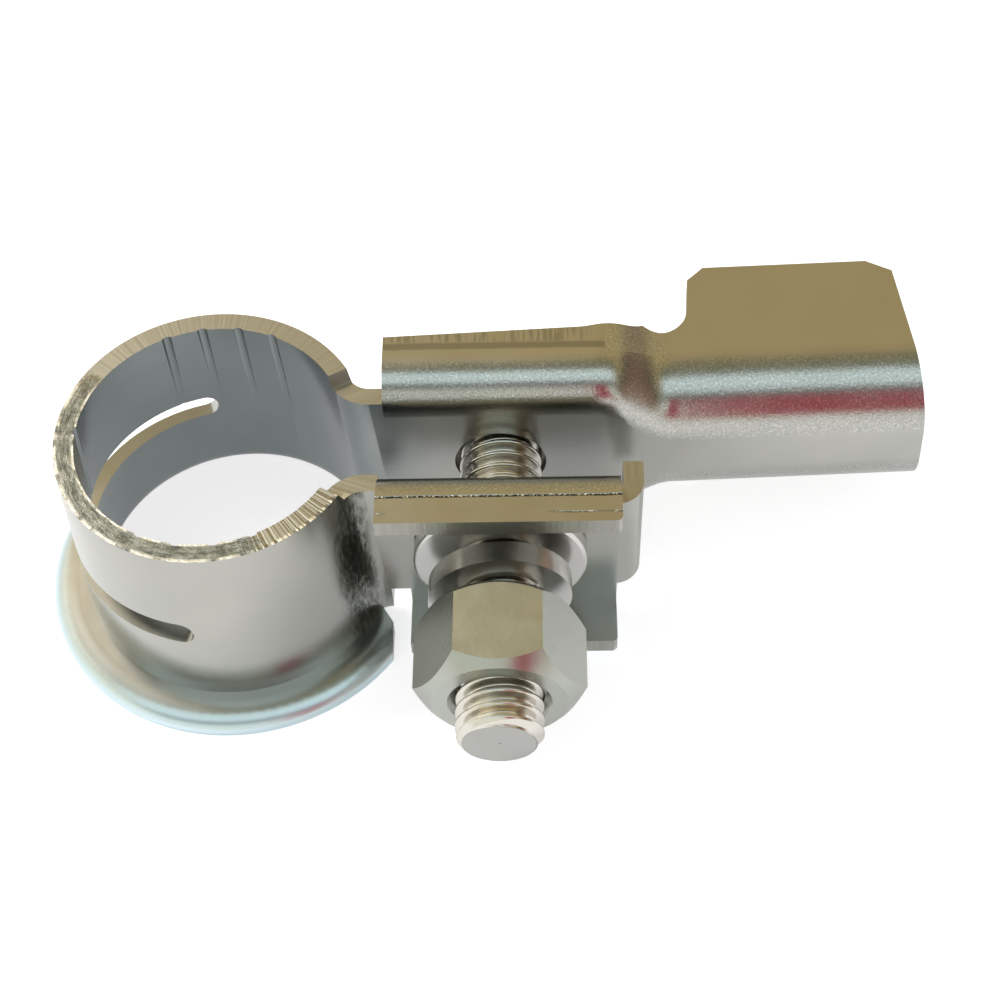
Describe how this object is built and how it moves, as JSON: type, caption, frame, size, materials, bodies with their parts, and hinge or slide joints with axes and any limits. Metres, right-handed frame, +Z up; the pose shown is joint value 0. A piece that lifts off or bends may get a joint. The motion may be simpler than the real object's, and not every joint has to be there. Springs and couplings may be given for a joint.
{
  "type": "battery terminal clamp",
  "caption": "Plated sheet-metal clamp for a tapered battery post, with channel ears, a pinch bolt, washers and nut, and an open wire barrel for crimping a cable.",
  "frame": {"origin": "where the post ring's axis crosses the level of the pinch bolt", "axes": "+X from the post ring to the wire barrel, +Y towards the bolt's head, +Z up along the post"},
  "size_m": [0.0644, 0.036, 0.0175],
  "materials": {
    "plated_sheet": "bright zinc plating, glossy, with drawing marks at the bends and torn, serrated sheared edges",
    "plated_bolt": "bright plated rolled thread",
    "plated_washer": "satin plated washers",
    "plated_nut": "satin plated hexagon nut with turned chamfers"
  },
  "bodies": {
    "clamp": {"clamp_body": "plated_sheet", "clamp_bolt": "plated_bolt", "flat_washer": "plated_washer"},
    "washer": {"spring_washer": "plated_washer"},
    "nut": {"hex_nut": "plated_nut"}
  },
  "joints": [
    {"name": "nut_travel", "type": "slide", "parent": "clamp", "child": "washer", "axis": [0, -1, 0], "range_m": [-0.00067, 0.009]},
    {"name": "nut_turn", "type": "hinge", "parent": "washer", "child": "nut", "pos_m": [0.01965, -0.01345, 0], "axis": [0, -1, 0], "range_deg": [-240, 3240]}
  ],
  "couplings": [
    {"joint": "nut_turn", "follows": "nut_travel", "rad_per_m": 6283.2}
  ]
}
